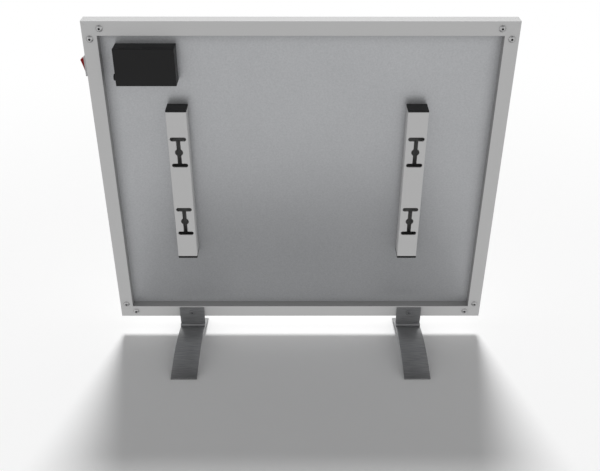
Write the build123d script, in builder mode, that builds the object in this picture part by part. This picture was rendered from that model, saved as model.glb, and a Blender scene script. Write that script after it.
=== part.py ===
"""Infrared panel heater on two arched feet.

A thin heating panel in a rail frame leans back on its feet. The origin is on the floor, midway
across the panel, under the crown of the feet. +X runs towards the side with the switch, +Y to the
rear and +Z up. Lengths are in millimetres and angles in degrees. Places on the panel are counted
across it from its middle, up it from its bottom edge and forwards from the rear face of its rails.
"""
from build123d import *
import os
from math import atan2, cos, radians, sin, sqrt, tan

os.makedirs("parts", exist_ok=True)

# ------------------------------------------------------------------ stance and frame
panel_width = 600
panel_height = 505
lean_angle = 8
floor_gap = 35  # floor to the rear bottom edge of the frame
rail_width = 20.4
rail_wall = 1.4
rail_edge_radius = 0.4
sheet_depth = 13.9  # rear face of the rails to the rear sheet
front_lip_thickness = 1.2
groove_engagement_depth = 15  # how far the panel reaches into the rail's groove

# ------------------------------------------------------------------ layers of the panel
back_sheet_thickness = 0.8
insulation_thickness = 2.6
track_thickness = 0.3
film_thickness = 0.2
front_plate_thickness = 1.5

# ------------------------------------------------------------------ heating track
track_width = 9
track_rows = 20
track_margin = 40  # outer edge of the frame to the middle of the first row
feed_line_gap = 18  # ends of the rows to the line that feeds them

# ------------------------------------------------------------------ corner brackets and screws
bracket_leg = 45
bracket_thickness = 6
slide_clearance = 0.2  # between a piece and the hollow that it slides into
corner_screw_inset = 25  # outer corner of the frame to a screw, along the rail
screw_radius = 2.5
screw_head_radius = 4.8
screw_head_height = 2.6
screw_tip_length = 1.6  # what shows past the piece that holds the thread
head_rounding_share = 0.75  # of a head's height
socket_flats_share = 0.6  # of a screw's diameter
socket_depth_share = 0.6  # of a head's height
thread_clearance = 0.05
hole_clearance = 0.25

# ------------------------------------------------------------------ mounting tubes
tube_width = 30
tube_depth = 25
tube_wall = 2
tube_length = 247
tube_edge_radius = 0.8
tube_spacing = 347.5
tube_pair_offset = 5.2  # middle of the panel to the middle of the pair, towards the switch
cap_thickness = 2.6
cap_plug_depth = 8
slot_spacing = 119
slot_height = 49
slot_neck_width = 6.2
slot_bar_length = 24
slot_bar_width = 6.4
slot_entry_radius = 6
rivet_radius = 2
rivet_head_radius = 4
rivet_head_height = 1.2
rivet_bulb_radius = 2.8
rivet_bulb_length = 1.6
rivet_end_offset = 18.5  # ends of a tube to its outer rivets

# ------------------------------------------------------------------ control box
box_width = 85
box_height = 54
box_depth = 24
box_wall = 2
box_edge_radius = 0.6
box_side_offset = 83.1  # outer side of the frame to the middle of the box
box_top_offset = 62.8  # top of the frame to the middle of the box
base_thickness = 2
snap_width = 12
snap_height = 9
snap_thickness = 1.6
nib_height = 2
nib_reach = 0.9
box_screw_radius = 1.5
box_screw_head_radius = 2.8
box_screw_head_height = 1.8
box_screw_inset = 5  # edges of the base to a screw
gland_flange_radius = 4.85
gland_reach = 4.2  # what stands out of the box
gland_shank_radius = 4
gland_bore_radius = 3.3
gland_rounding = 1
gland_height = 9  # underside of the box to the middle of the gland
gland_nut_flats = 11
gland_nut_thickness = 3
gland_thread_end_length = 1  # what shows past the nut

# ------------------------------------------------------------------ terminals and wiring
pole_count = 4
pole_pitch = 9
terminal_block_width = 18
terminal_block_depth = 14
terminal_block_end_margin = 4.5  # outer poles to the ends of the block
terminal_block_offset = -2  # middle of the box to the middle of the block
wire_bore_radius = 1.6
terminal_screw_radius = 1.8
terminal_screw_spacing = 9
terminal_screw_sink_depth = 0.8
terminal_slot_width = 0.8
lead_radius = 0.9
lead_bend_radius = 2.5
lead_grip_length = 3  # how far a lead reaches into its pole
lead_shaft_offset = 26  # middle of the box to the window for the leads
window_width = 10
window_end_margin = 3.5  # outer leads to the ends of the window
channel_width = 2.6
cutout_length = 18
cutout_width = 8
cutout_thickness = 4.5
cutout_offset = -27  # middle of the box to the thermal cut-out
cutout_gap = 1
earth_screw_radius = 2
earth_screw_head_radius = 3.8
earth_screw_head_height = 2.4
earth_screw_side_offset = 15  # middle of the box to the earth screw
earth_screw_height_offset = 18

# ------------------------------------------------------------------ rocker switch
switch_top_offset = 64.7  # top of the frame to the middle of the switch
bezel_length = 29.5
bezel_width = 13.6
bezel_reach = 2.4  # how far the bezel stands proud of the rail
bezel_corner_radius = 1.5
bezel_rounding = 0.6
housing_wall = 0.8
housing_end_wall = 1.2
housing_depth = 12.5
housing_floor = 1.2
rocker_length = 21.2  # tip to tip
rocker_rise_height = 5.3  # pivot to the tips
rocker_dish_depth = 0.4
rocker_tip_radius = 0.5
rocker_skirt_angle = 20  # how far the round ends run on past the level of the pivot
rocker_tilt = 15.2  # either way from level
rocker_gap = 0.3
trunnion_radius = 1.2
trunnion_length = 0.6
running_clearance = 0.05
nose_width = 2.4
nose_reach = 7
blade_length = 15
blade_width = 5
blade_thickness = 0.8
blade_reach = 7.6  # pivot of the rocker to the face of the level blade
blade_turn_ratio = 0.6
knuckle_radius = 0.5  # round bead that the blade rocks on
contact_gap = 0.3
tab_width = 4.8
tab_thickness = 0.8
tab_reach = 5.5  # what stands out of the housing
tab_clearance = 0.1

# ------------------------------------------------------------------ feet
foot_spacing = 362.6
strip_width = 40.8
arch_span = 186
crown_height = 20
arch_thickness = 3
toe_height = 2
crown_offset = 43  # rear bottom edge of the frame to the crown
foot_plate_thickness = 2
foot_tab_height = 17.8
foot_plate_angle = 14  # lean of the plate below the rail
foot_heel_thickness = 5.1  # rolled end of the plate, which stands on the arch
foot_heel_length = 6.4
foot_screw_height = 8
nut_plate_length = 20
nut_plate_height = 12
nut_plate_thickness = 3

# ------------------------------------------------------------------ depths and widths that follow
insulation_depth = sheet_depth + back_sheet_thickness
track_depth = insulation_depth + insulation_thickness
film_depth = track_depth + track_thickness
front_plate_depth = film_depth + film_thickness
groove_end = front_plate_depth + front_plate_thickness
panel_thickness = groove_end + front_lip_thickness
chamber_depth = sheet_depth - 2 * rail_wall
chamber_width = rail_width - 2 * rail_wall
layer_inset = rail_width - groove_engagement_depth
layer_width = panel_width - 2 * layer_inset
layer_height = panel_height - 2 * layer_inset

# ------------------------------------------------------------------ planes on the leaning panel
panel_up = Vector(0, sin(radians(lean_angle)), cos(radians(lean_angle)))
panel_front = Vector(0, -cos(radians(lean_angle)), sin(radians(lean_angle)))
rear_axis = Axis((0, 0, 0), panel_front * -1)
panel_plane = Plane(origin=(0, -crown_offset, floor_gap), x_dir=(1, 0, 0), z_dir=panel_front)


def panel_point(across, up, depth):
    """This place on the panel as a point."""
    return panel_plane.from_local_coords((across, up, depth))


def spot_plane(across, up, depth):
    """A plane at this place that faces the front; x runs across the panel and y up it."""
    return Plane(origin=panel_point(across, up, depth), x_dir=(1, 0, 0), z_dir=panel_front)


def side_plane(across, up, depth):
    """A plane at this place that faces the switch's side; x runs up the panel, y to its front."""
    return Plane(origin=panel_point(across, up, depth), x_dir=panel_up, z_dir=(1, 0, 0))


def level_plane(across, up, depth):
    """A plane at this place that faces up the panel; x runs across it and y to the rear."""
    return Plane(origin=panel_point(across, up, depth), x_dir=(1, 0, 0), z_dir=panel_up)


def turned(plane, angle):
    """The plane turned in itself by this angle, about its origin."""
    return Plane(plane.location * Rot(0, 0, angle))


def rail_plane(turn, reach):
    """A plane on the outer edge of a rail; x runs along it, y into the panel, z to the front."""
    middle = turned(spot_plane(0, panel_height / 2, 0), turn)
    return Plane(middle.location * Pos(0, -reach, 0))


half_height_plane = level_plane(0, panel_height / 2, 0)

# ------------------------------------------------------------------ places that pieces share
box_across = panel_width / 2 - box_side_offset
box_up = panel_height - box_top_offset
switch_up = panel_height - switch_top_offset
corner_screw_points = [
    point
    for side in (-1, 1)
    for edge, inward in ((0, 1), (panel_height, -1))
    for point in (
        (side * (panel_width / 2 - corner_screw_inset), edge + inward * rail_width / 2),
        (side * (panel_width / 2 - rail_width / 2), edge + inward * corner_screw_inset),
    )
]
tube_centres = {
    "plain_side": tube_pair_offset - tube_spacing / 2,
    "switch_side": tube_pair_offset + tube_spacing / 2,
}
rivet_points = [
    (centre, panel_height / 2 + step * (tube_length / 2 - rivet_end_offset))
    for centre in tube_centres.values()
    for step in (-1, 0, 1)
]
foot_centres = {"plain_side": -foot_spacing / 2, "switch_side": foot_spacing / 2}
foot_screw_points = [(centre, foot_screw_height) for centre in foot_centres.values()]

base_width = box_width - 2 * (box_wall + slide_clearance)
base_height = box_height - 2 * (box_wall + slide_clearance)
base_depth = sheet_depth - base_thickness
box_screw_points = [
    (
        box_across + side * (base_width / 2 - box_screw_inset),
        box_up + end * (base_height / 2 - box_screw_inset),
    )
    for side in (-1, 1)
    for end in (-1, 1)
]
earth_point = (box_across + earth_screw_side_offset, box_up + earth_screw_height_offset)
snap_points = [(box_across, box_up + end * (base_height - snap_thickness) / 2) for end in (-1, 1)]
gland_place = (
    box_across + box_width / 2,
    box_up - box_height / 2 + gland_height,
    sheet_depth - box_depth / 2,
)

rail_face = panel_width / 2
switch_depth = rail_wall + chamber_depth / 2
switch_place = (rail_face, switch_up, switch_depth)
housing_width = chamber_depth - 2 * slide_clearance
rocker_radius = sqrt((rocker_length / 2) ** 2 + rocker_rise_height**2)
cavity_length = 2 * (rocker_radius + rocker_gap)
cavity_width = housing_width - 2 * housing_wall
housing_length = cavity_length + 2 * housing_end_wall
rocker_width = cavity_width - 2 * rocker_gap
tab_middle = rail_face - housing_depth - tab_reach / 2

pole_heights = [
    switch_up + (pole - (pole_count - 1) / 2) * pole_pitch for pole in range(pole_count)
]
switch_lead_heights = pole_heights[1:-1]
element_lead_heights = [pole_heights[0], pole_heights[-1]]
block_across = box_across + terminal_block_offset
block_face = block_across + terminal_block_width / 2
block_length = (pole_count - 1) * pole_pitch + 2 * terminal_block_end_margin
bore_depth = base_depth - terminal_block_depth / 2
lead_shaft = box_across + lead_shaft_offset
lead_run_depth = insulation_depth + insulation_thickness / 2
window_length = pole_heights[-1] - pole_heights[0] + 2 * window_end_margin
cutout_across = box_across + cutout_offset
wall_hole_points = [(tab_middle, up) for up in switch_lead_heights]
fastener_reach = back_sheet_thickness + screw_tip_length / 2


def button_screws(plane, points, radius, length, head_radius, head_height):
    """Add screws to the sub-part that is open, with their heads on the rear side of the plane."""
    with BuildSketch(plane) as shanks:
        with Locations(*points):
            Circle(radius)
    extrude(shanks.sketch, amount=length)
    with BuildSketch(plane) as heads:
        with Locations(*points):
            Circle(head_radius)
    extrude(heads.sketch, amount=-head_height)
    fillet(edges().group_by(rear_axis)[-1], radius=head_height * head_rounding_share)
    with BuildSketch(plane.offset(-head_height)) as sockets:
        with Locations(*points):
            RegularPolygon(radius * socket_flats_share, 6, major_radius=False)
    extrude(sockets.sketch, amount=head_height * socket_depth_share, mode=Mode.SUBTRACT)


# ------------------------------------------------------------------ frame rails
rails = {
    "bottom_rail": (0, panel_width, panel_height / 2),
    "switch_side_rail": (90, panel_height, panel_width / 2),
    "top_rail": (180, panel_width, panel_height / 2),
    "plain_side_rail": (270, panel_height, panel_width / 2),
}
for name, (turn, length, reach) in rails.items():
    plane = rail_plane(turn, reach)
    with BuildPart() as rail:
        with BuildSketch(plane):
            Rectangle(length, rail_width, align=(Align.CENTER, Align.MIN))
        extrude(amount=panel_thickness)
        fillet(rail.edges().filter_by(Axis(plane.origin, plane.x_dir)), radius=rail_edge_radius)
        with BuildSketch(plane.offset(rail_wall)):
            with Locations((0, rail_wall)):
                Rectangle(length, chamber_width, align=(Align.CENTER, Align.MIN))
        extrude(amount=chamber_depth, mode=Mode.SUBTRACT)
        with BuildSketch(plane.offset(sheet_depth)):
            with Locations((0, rail_wall)):
                Rectangle(length, rail_width, align=(Align.CENTER, Align.MIN))
        extrude(amount=groove_end - sheet_depth, mode=Mode.SUBTRACT)
        with BuildSketch(panel_plane):
            with Locations(*corner_screw_points):
                Circle(screw_radius + hole_clearance)
        extrude(amount=rail_wall, mode=Mode.SUBTRACT)
        if name == "bottom_rail":
            with BuildSketch(panel_plane):
                with Locations(*foot_screw_points):
                    Circle(screw_radius + hole_clearance)
            extrude(amount=rail_wall, mode=Mode.SUBTRACT)
        if name == "switch_side_rail":
            with BuildSketch(side_plane(*switch_place)):
                Rectangle(housing_length + 2 * slide_clearance, chamber_depth)
            extrude(amount=-rail_wall, mode=Mode.SUBTRACT)
            with BuildSketch(panel_plane.offset(sheet_depth - rail_wall)):
                with Locations(*wall_hole_points):
                    Circle(wire_bore_radius)
            extrude(amount=rail_wall, mode=Mode.SUBTRACT)
        with BuildSketch(plane):
            with BuildLine():
                Polyline(
                    (-length / 2, 0),
                    (length / 2, 0),
                    (length / 2 - rail_width, rail_width),
                    (rail_width - length / 2, rail_width),
                    close=True,
                )
            make_face()
        extrude(amount=panel_thickness, mode=Mode.INTERSECT)
    rail.part.label = name
    export_step(rail.part, f"parts/{name}.step")

# ------------------------------------------------------------------ brackets inside the corners
bracket_edge = rail_wall + slide_clearance
bracket_width = chamber_width - 2 * slide_clearance
with BuildPart() as corner_brackets:
    with BuildSketch(panel_plane.offset(rail_wall)):
        with Locations((panel_width / 2 - bracket_edge, panel_height - bracket_edge)):
            Rectangle(bracket_leg, bracket_leg, align=(Align.MAX, Align.MAX))
            with Locations((-bracket_width, -bracket_width)):
                Rectangle(bracket_leg, bracket_leg, align=(Align.MAX, Align.MAX), mode=Mode.SUBTRACT)
        with Locations(*corner_screw_points):
            Circle(screw_radius + thread_clearance, mode=Mode.SUBTRACT)
    extrude(amount=bracket_thickness)
    mirror(about=Plane.YZ)
    mirror(about=half_height_plane)
corner_brackets.part.label = "corner_brackets"
export_step(corner_brackets.part, "parts/corner_brackets.step")

with BuildPart() as corner_screws:
    button_screws(
        panel_plane,
        corner_screw_points,
        screw_radius,
        rail_wall + bracket_thickness + screw_tip_length,
        screw_head_radius,
        screw_head_height,
    )
corner_screws.part.label = "corner_screws"
export_step(corner_screws.part, "parts/corner_screws.step")

# ------------------------------------------------------------------ seal round the panel's edge
with BuildPart() as edge_seal:
    with BuildSketch(panel_plane.offset(sheet_depth)):
        with Locations((0, panel_height / 2)):
            Rectangle(panel_width - 2 * rail_wall, panel_height - 2 * rail_wall)
            Rectangle(layer_width, layer_height, mode=Mode.SUBTRACT)
    extrude(amount=groove_end - sheet_depth)
edge_seal.part.label = "edge_seal"
export_step(edge_seal.part, "parts/edge_seal.step")

# ------------------------------------------------------------------ rear sheet
with BuildPart() as back_sheet:
    with BuildSketch(panel_plane.offset(sheet_depth)):
        with Locations((0, panel_height / 2)):
            Rectangle(layer_width, layer_height)
        with Locations((lead_shaft, switch_up)):
            Rectangle(window_width, window_length, mode=Mode.SUBTRACT)
        with Locations((cutout_across, switch_up)):
            Rectangle(
                cutout_length + 2 * cutout_gap, cutout_width + 2 * cutout_gap, mode=Mode.SUBTRACT
            )
        with Locations(*rivet_points):
            Circle(rivet_radius + thread_clearance, mode=Mode.SUBTRACT)
        with Locations(*box_screw_points):
            Circle(box_screw_radius + thread_clearance, mode=Mode.SUBTRACT)
        with Locations(earth_point):
            Circle(earth_screw_radius + thread_clearance, mode=Mode.SUBTRACT)
        with Locations(*wall_hole_points):
            Circle(wire_bore_radius, mode=Mode.SUBTRACT)
    extrude(amount=back_sheet_thickness)
back_sheet.part.label = "back_sheet"
export_step(back_sheet.part, "parts/back_sheet.step")

# ------------------------------------------------------------------ insulation board
channel_length = tab_middle - lead_shaft + channel_width
with BuildPart() as insulation_board:
    with BuildSketch(panel_plane.offset(insulation_depth)):
        with Locations((0, panel_height / 2)):
            Rectangle(layer_width, layer_height)
        with Locations((lead_shaft, switch_up)):
            Rectangle(window_width, window_length, mode=Mode.SUBTRACT)
        with Locations((cutout_across, switch_up)):
            Rectangle(
                cutout_length + 2 * cutout_gap, cutout_width + 2 * cutout_gap, mode=Mode.SUBTRACT
            )
        with Locations(*[((lead_shaft + tab_middle) / 2, up) for up in switch_lead_heights]):
            Rectangle(channel_length, channel_width, mode=Mode.SUBTRACT)
        with Locations(*rivet_points):
            Circle(rivet_bulb_radius + hole_clearance, mode=Mode.SUBTRACT)
        with Locations(*box_screw_points):
            Circle(box_screw_radius + hole_clearance, mode=Mode.SUBTRACT)
        with Locations(earth_point):
            Circle(earth_screw_radius + hole_clearance, mode=Mode.SUBTRACT)
    extrude(amount=insulation_thickness)
insulation_board.part.label = "insulation_board"
export_step(insulation_board.part, "parts/insulation_board.step")

# ------------------------------------------------------------------ heating track
track_side = panel_width / 2 - track_margin
track_top = panel_height - track_margin
track_pitch = (track_top - track_margin) / (track_rows - 1)
row_end = lead_shaft - feed_line_gap
track_route = []
for row in range(track_rows):
    ends = [row_end, -track_side] if row % 2 == 0 else [-track_side, row_end]
    track_route += [(across, track_top - row * track_pitch) for across in ends]
track_route[0] = (lead_shaft, track_top)
track_route[-1] = (lead_shaft, track_margin)
track_route.insert(0, (lead_shaft, element_lead_heights[1]))
track_route.append((lead_shaft, element_lead_heights[0]))
with BuildPart() as heating_track:
    with BuildSketch(panel_plane.offset(track_depth)):
        for start, end in zip(track_route, track_route[1:]):
            with Locations(((start[0] + end[0]) / 2, (start[1] + end[1]) / 2)):
                Rectangle(
                    abs(end[0] - start[0]) + track_width, abs(end[1] - start[1]) + track_width
                )
    extrude(amount=track_thickness)
heating_track.part.label = "heating_track"
export_step(heating_track.part, "parts/heating_track.step")

# ------------------------------------------------------------------ film and front plate
with BuildPart() as heating_film:
    with BuildSketch(panel_plane.offset(film_depth)):
        with Locations((0, panel_height / 2)):
            Rectangle(layer_width, layer_height)
    extrude(amount=film_thickness)
heating_film.part.label = "heating_film"
export_step(heating_film.part, "parts/heating_film.step")

with BuildPart() as front_plate:
    with BuildSketch(panel_plane.offset(front_plate_depth)):
        with Locations((0, panel_height / 2)):
            Rectangle(layer_width, layer_height)
    extrude(amount=front_plate_thickness)
front_plate.part.label = "front_plate"
export_step(front_plate.part, "parts/front_plate.step")

# ------------------------------------------------------------------ mounting tubes
tube_base = panel_height / 2 - tube_length / 2
slot_points = [panel_height / 2 + end * slot_spacing / 2 for end in (-1, 1)]
bar_offset = (slot_height - slot_bar_width) / 2
for side, centre in tube_centres.items():
    name = f"mounting_tube_{side}"
    with BuildPart() as mounting_tube:
        with BuildSketch(level_plane(centre, tube_base, sheet_depth)):
            with Locations((0, tube_depth / 2)):
                RectangleRounded(tube_width, tube_depth, tube_edge_radius)
                Rectangle(
                    tube_width - 2 * tube_wall, tube_depth - 2 * tube_wall, mode=Mode.SUBTRACT
                )
        extrude(amount=tube_length)
        with BuildSketch(panel_plane.offset(sheet_depth - tube_depth)):
            for up in slot_points:
                with Locations((centre, up)):
                    Circle(slot_entry_radius)
                    Rectangle(slot_neck_width, slot_height - slot_bar_width)
                with Locations((centre, up - bar_offset), (centre, up + bar_offset)):
                    SlotOverall(slot_bar_length, slot_bar_width)
        extrude(amount=tube_wall, mode=Mode.SUBTRACT)
        with BuildSketch(panel_plane.offset(sheet_depth - tube_wall)):
            with Locations(*rivet_points):
                Circle(rivet_radius + thread_clearance)
        extrude(amount=tube_wall, mode=Mode.SUBTRACT)
    mounting_tube.part.label = name
    export_step(mounting_tube.part, f"parts/{name}.step")

with BuildPart() as tube_end_caps:
    with BuildSketch(level_plane(0, tube_base + tube_length, sheet_depth)):
        with Locations(*[(centre, tube_depth / 2) for centre in tube_centres.values()]):
            RectangleRounded(tube_width, tube_depth, tube_edge_radius)
    extrude(amount=cap_thickness)
    with BuildSketch(level_plane(0, tube_base + tube_length, sheet_depth)):
        with Locations(*[(centre, tube_depth / 2) for centre in tube_centres.values()]):
            Rectangle(
                tube_width - 2 * (tube_wall + slide_clearance),
                tube_depth - 2 * (tube_wall + slide_clearance),
            )
    extrude(amount=-cap_plug_depth)
    mirror(about=half_height_plane)
tube_end_caps.part.label = "tube_end_caps"
export_step(tube_end_caps.part, "parts/tube_end_caps.step")

with BuildPart() as tube_rivets:
    with BuildSketch(panel_plane.offset(sheet_depth - tube_wall)):
        with Locations(*rivet_points):
            Circle(rivet_head_radius)
    extrude(amount=-rivet_head_height)
    with BuildSketch(panel_plane.offset(sheet_depth - tube_wall)):
        with Locations(*rivet_points):
            Circle(rivet_radius)
    extrude(amount=tube_wall + back_sheet_thickness)
    with BuildSketch(panel_plane.offset(insulation_depth)):
        with Locations(*rivet_points):
            Circle(rivet_bulb_radius)
    extrude(amount=rivet_bulb_length)
tube_rivets.part.label = "tube_rivets"
export_step(tube_rivets.part, "parts/tube_rivets.step")

# ------------------------------------------------------------------ control box
with BuildPart() as control_box_base:
    with BuildSketch(panel_plane.offset(sheet_depth)):
        with Locations((box_across, box_up)):
            Rectangle(base_width, base_height)
        with Locations((lead_shaft, switch_up)):
            Rectangle(window_width, window_length, mode=Mode.SUBTRACT)
        with Locations((cutout_across, switch_up)):
            Rectangle(
                cutout_length + 2 * cutout_gap, cutout_width + 2 * cutout_gap, mode=Mode.SUBTRACT
            )
        with Locations(*box_screw_points):
            Circle(box_screw_radius + thread_clearance, mode=Mode.SUBTRACT)
        with Locations(earth_point):
            Circle(earth_screw_radius + thread_clearance, mode=Mode.SUBTRACT)
    extrude(amount=-base_thickness)
    with BuildSketch(panel_plane.offset(base_depth)):
        with Locations(*snap_points):
            Rectangle(snap_width, snap_thickness)
    extrude(amount=-snap_height)
    with BuildSketch(panel_plane.offset(base_depth - snap_height + nib_height)):
        with Locations((box_across, box_up)):
            Rectangle(snap_width, base_height + 2 * nib_reach)
            Rectangle(snap_width, base_height - 2 * snap_thickness, mode=Mode.SUBTRACT)
    extrude(amount=-nib_height)
control_box_base.part.label = "control_box_base"
export_step(control_box_base.part, "parts/control_box_base.step")

with BuildPart() as control_box_cover:
    with BuildSketch(panel_plane.offset(sheet_depth)):
        with Locations((box_across, box_up)):
            Rectangle(box_width, box_height)
    extrude(amount=-box_depth)
    rear_rim = control_box_cover.edges().group_by(rear_axis)[-1]
    fillet(rear_rim + control_box_cover.edges().filter_by(rear_axis), radius=box_edge_radius)
    with BuildSketch(panel_plane.offset(sheet_depth)):
        with Locations((box_across, box_up)):
            Rectangle(box_width - 2 * box_wall, box_height - 2 * box_wall)
    extrude(amount=box_wall - box_depth, mode=Mode.SUBTRACT)
    with BuildSketch(panel_plane.offset(base_depth - snap_height + nib_height + slide_clearance)):
        with Locations((box_across, box_up)):
            Rectangle(
                snap_width + 2 * slide_clearance, base_height + 2 * (nib_reach + slide_clearance)
            )
    extrude(amount=-(nib_height + 2 * slide_clearance), mode=Mode.SUBTRACT)
    with BuildSketch(side_plane(*gland_place)):
        Circle(gland_shank_radius + thread_clearance)
    extrude(amount=-box_wall, mode=Mode.SUBTRACT)
control_box_cover.part.label = "control_box_cover"
export_step(control_box_cover.part, "parts/control_box_cover.step")

with BuildPart() as control_box_screws:
    button_screws(
        panel_plane.offset(base_depth),
        box_screw_points,
        box_screw_radius,
        base_thickness + fastener_reach,
        box_screw_head_radius,
        box_screw_head_height,
    )
control_box_screws.part.label = "control_box_screws"
export_step(control_box_screws.part, "parts/control_box_screws.step")

with BuildPart() as earth_screw:
    button_screws(
        panel_plane.offset(base_depth),
        [earth_point],
        earth_screw_radius,
        base_thickness + fastener_reach,
        earth_screw_head_radius,
        earth_screw_head_height,
    )
earth_screw.part.label = "earth_screw"
export_step(earth_screw.part, "parts/earth_screw.step")

# ------------------------------------------------------------------ cable gland and its nut
gland_plane = side_plane(*gland_place)
gland_thread_length = box_wall + gland_nut_thickness + gland_thread_end_length
with BuildPart() as cable_gland:
    with BuildSketch(gland_plane):
        Circle(gland_flange_radius)
    extrude(amount=gland_reach)
    fillet(cable_gland.edges().group_by(Axis.X)[-1], radius=gland_rounding)
    with BuildSketch(gland_plane):
        Circle(gland_shank_radius)
    extrude(amount=-gland_thread_length)
    with BuildSketch(gland_plane.offset(gland_reach)):
        Circle(gland_bore_radius)
    extrude(amount=-(gland_reach + gland_thread_length), mode=Mode.SUBTRACT)
cable_gland.part.label = "cable_gland"
export_step(cable_gland.part, "parts/cable_gland.step")

with BuildPart() as gland_nut:
    with BuildSketch(gland_plane.offset(-box_wall)):
        RegularPolygon(gland_nut_flats / 2, 6, major_radius=False)
        Circle(gland_shank_radius + thread_clearance, mode=Mode.SUBTRACT)
    extrude(amount=-gland_nut_thickness)
gland_nut.part.label = "gland_nut"
export_step(gland_nut.part, "parts/gland_nut.step")

# ------------------------------------------------------------------ terminal block
terminal_screw_points = [
    (block_across + side * terminal_screw_spacing / 2, up)
    for side in (-1, 1)
    for up in pole_heights
]
block_rear = base_depth - terminal_block_depth
screw_top = block_rear + terminal_screw_sink_depth
with BuildPart() as terminal_block:
    with BuildSketch(panel_plane.offset(base_depth)):
        with Locations((block_across, switch_up)):
            Rectangle(terminal_block_width, block_length)
    extrude(amount=-terminal_block_depth)
    with BuildSketch(side_plane(block_face, 0, bore_depth)):
        with Locations(*[(up, 0) for up in pole_heights]):
            Circle(wire_bore_radius)
    extrude(amount=-terminal_block_width, mode=Mode.SUBTRACT)
    with BuildSketch(panel_plane.offset(block_rear)):
        with Locations(*terminal_screw_points):
            Circle(terminal_screw_radius + thread_clearance)
    extrude(amount=bore_depth - block_rear, mode=Mode.SUBTRACT)
terminal_block.part.label = "terminal_block"
export_step(terminal_block.part, "parts/terminal_block.step")

with BuildPart() as terminal_screws:
    with BuildSketch(panel_plane.offset(screw_top)):
        with Locations(*terminal_screw_points):
            Circle(terminal_screw_radius)
    extrude(amount=bore_depth - lead_radius - screw_top)
    with BuildSketch(panel_plane.offset(screw_top)):
        with Locations(*terminal_screw_points):
            Rectangle(2 * terminal_screw_radius, terminal_slot_width)
    extrude(amount=terminal_slot_width, mode=Mode.SUBTRACT)
terminal_screws.part.label = "terminal_screws"
export_step(terminal_screws.part, "parts/terminal_screws.step")

# ------------------------------------------------------------------ thermal cut-out
with BuildPart() as thermal_cutout:
    with BuildSketch(panel_plane.offset(track_depth)):
        with Locations((cutout_across, switch_up)):
            Rectangle(cutout_length, cutout_width)
    extrude(amount=-cutout_thickness)
thermal_cutout.part.label = "thermal_cutout"
export_step(thermal_cutout.part, "parts/thermal_cutout.step")

# ------------------------------------------------------------------ leads
lead_end = block_face - lead_grip_length
with BuildPart() as switch_leads:
    for up in switch_lead_heights:
        with BuildLine() as route:
            FilletPolyline(
                panel_point(tab_middle, up, switch_depth + tab_width / 2),
                panel_point(tab_middle, up, lead_run_depth),
                panel_point(lead_shaft, up, lead_run_depth),
                panel_point(lead_shaft, up, bore_depth),
                panel_point(lead_end, up, bore_depth),
                radius=lead_bend_radius,
            )
        with BuildSketch(Plane(origin=route.line @ 0, z_dir=route.line % 0)):
            Circle(lead_radius)
        sweep(path=route.line)
switch_leads.part.label = "switch_leads"
export_step(switch_leads.part, "parts/switch_leads.step")

with BuildPart() as element_leads:
    for up in element_lead_heights:
        with BuildLine() as route:
            FilletPolyline(
                panel_point(lead_shaft, up, track_depth),
                panel_point(lead_shaft, up, bore_depth),
                panel_point(lead_end, up, bore_depth),
                radius=lead_bend_radius,
            )
        with BuildSketch(Plane(origin=route.line @ 0, z_dir=route.line % 0)):
            Circle(lead_radius)
        sweep(path=route.line)
element_leads.part.label = "element_leads"
export_step(element_leads.part, "parts/element_leads.step")

# ------------------------------------------------------------------ switch housing
switch_plane = side_plane(*switch_place)
tab_points = [(up - switch_up, 0) for up in switch_lead_heights]
with BuildPart() as switch_housing:
    with BuildSketch(switch_plane):
        RectangleRounded(bezel_length, bezel_width, bezel_corner_radius)
    extrude(amount=bezel_reach)
    fillet(switch_housing.edges().group_by(Axis.X)[-1], radius=bezel_rounding)
    with BuildSketch(switch_plane):
        Rectangle(housing_length, housing_width)
    extrude(amount=-housing_depth)
    with BuildSketch(switch_plane.offset(bezel_reach)):
        Rectangle(cavity_length, cavity_width)
    extrude(amount=-(bezel_reach + housing_depth - housing_floor), mode=Mode.SUBTRACT)
    with BuildSketch(spot_plane(*switch_place)):
        Circle(trunnion_radius + running_clearance)
    extrude(amount=housing_width / 2, both=True, mode=Mode.SUBTRACT)
    with BuildSketch(switch_plane.offset(-housing_depth)):
        with Locations(*tab_points):
            Rectangle(tab_thickness + 2 * tab_clearance, tab_width + 2 * tab_clearance)
    extrude(amount=housing_floor, mode=Mode.SUBTRACT)
switch_housing.part.label = "switch_housing"
export_step(switch_housing.part, "parts/switch_housing.step")

# ------------------------------------------------------------------ rocker, its upper end out
rocker_plane = turned(spot_plane(*switch_place), -rocker_tilt)
skirt_across = -rocker_radius * sin(radians(rocker_skirt_angle))
skirt_up = rocker_radius * cos(radians(rocker_skirt_angle))
nose_round = nose_reach - nose_width / 2
with BuildPart() as rocker:
    with BuildSketch(rocker_plane) as rocker_side:
        with BuildLine():
            ThreePointArc(
                (rocker_rise_height, -rocker_length / 2),
                (rocker_rise_height - rocker_dish_depth, 0),
                (rocker_rise_height, rocker_length / 2),
            )
            ThreePointArc(
                (rocker_rise_height, rocker_length / 2), (0, rocker_radius), (skirt_across, skirt_up)
            )
            Polyline(
                (skirt_across, skirt_up),
                (skirt_across, nose_width / 2),
                (-nose_round, nose_width / 2),
            )
            ThreePointArc(
                (-nose_round, nose_width / 2), (-nose_reach, 0), (-nose_round, -nose_width / 2)
            )
            Polyline(
                (-nose_round, -nose_width / 2),
                (skirt_across, -nose_width / 2),
                (skirt_across, -skirt_up),
            )
            ThreePointArc(
                (skirt_across, -skirt_up), (0, -rocker_radius), (rocker_rise_height, -rocker_length / 2)
            )
        make_face()
        fillet(rocker_side.vertices().group_by(Axis.X)[-1], radius=rocker_tip_radius)
    extrude(amount=rocker_width / 2, both=True)
    with BuildSketch(rocker_plane):
        Circle(trunnion_radius)
    extrude(amount=rocker_width / 2 + trunnion_length, both=True)
rocker.part.label = "rocker"
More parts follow.
